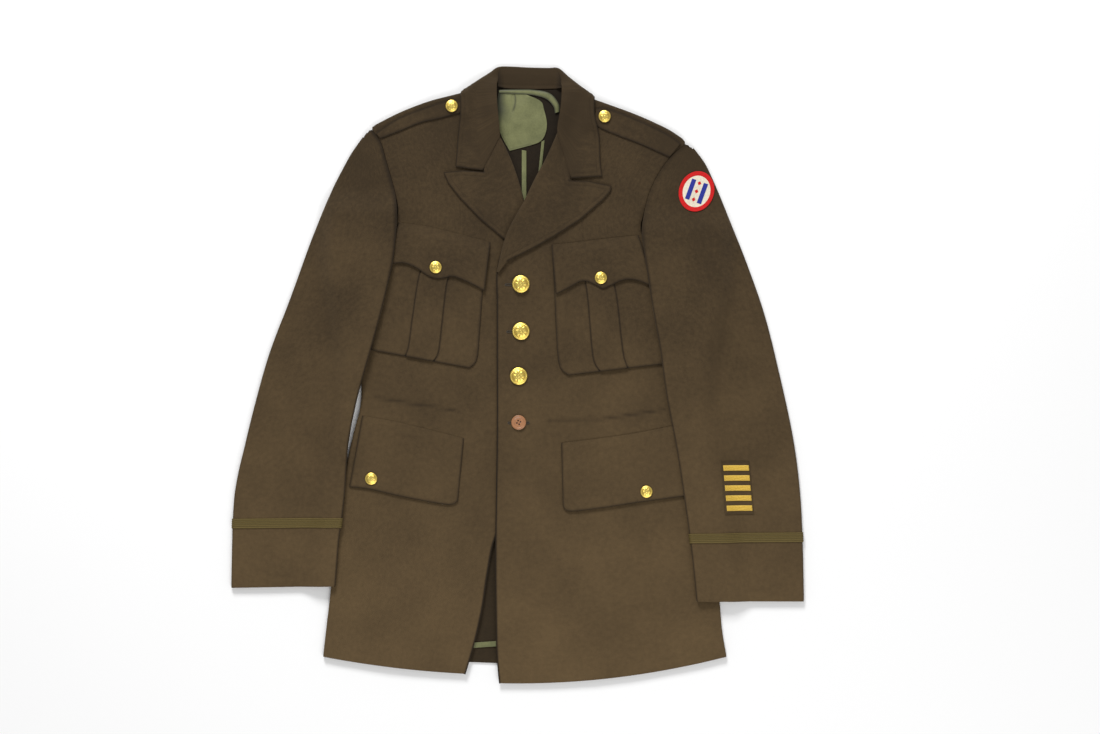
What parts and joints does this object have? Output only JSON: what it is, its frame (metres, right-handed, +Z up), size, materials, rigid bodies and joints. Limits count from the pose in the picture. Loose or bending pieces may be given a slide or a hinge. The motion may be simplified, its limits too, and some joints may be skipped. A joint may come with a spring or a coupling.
{
  "type": "dress uniform coat",
  "caption": "Single-breasted wool service dress coat with peaked lapels, patch pockets, shoulder loops and brass buttons, laid flat on its back.",
  "frame": {"origin": "centre of the footprint, on the surface the coat lies on", "axes": "+X towards the wearer's left sleeve, +Y from hem to collar, +Z up from the surface, the front of the coat upwards"},
  "size_m": [0.755, 0.812, 0.0235],
  "materials": {
    "wool": "matt dark olive-brown wool with a close twill",
    "braid": "lighter olive corded braid",
    "lining": "grey-green sateen lining and tape",
    "brass": "polished gilt brass",
    "horn": "coppery brown button",
    "patch_red": "embroidered cotton patch, red ground",
    "gold_thread": "gold bullion embroidery"
  },
  "bodies": {
    "root": {"back_right": "wool", "front_right": "wool", "lapel_right": "wool", "breast_pocket_right": "wool", "breast_flap_right": "wool", "hip_flap_right": "wool", "shoulder_loop_right": "wool", "sleeve_right_top": "wool", "sleeve_right_under": "wool", "cuff_braid_right": "braid", "seam_tape_right": "lining", "breast_button_right": "brass", "hip_button_right": "brass", "shoulder_button_right": "brass", "back_left": "wool", "front_left": "wool", "lapel_left": "wool", "breast_pocket_left": "wool", "breast_flap_left": "wool", "hip_flap_left": "wool", "shoulder_loop_left": "wool", "sleeve_left_top": "wool", "sleeve_left_under": "wool", "cuff_braid_left": "braid", "seam_tape_left": "lining", "breast_button_left": "brass", "hip_button_left": "brass", "shoulder_button_left": "brass", "collar_leaf": "wool", "collar_stand": "wool", "neck_lining": "lining", "neck_band": "lining", "hem_tape": "lining", "service_bar_backing": "wool", "sleeve_patch": "patch_red", "waist_button": "horn", "service_bar_1": "gold_thread", "service_bar_2": "gold_thread", "service_bar_3": "gold_thread", "service_bar_4": "gold_thread", "service_bar_5": "gold_thread", "front_button_1": "brass", "front_button_2": "brass", "front_button_3": "brass"}
  },
  "joints": []
}
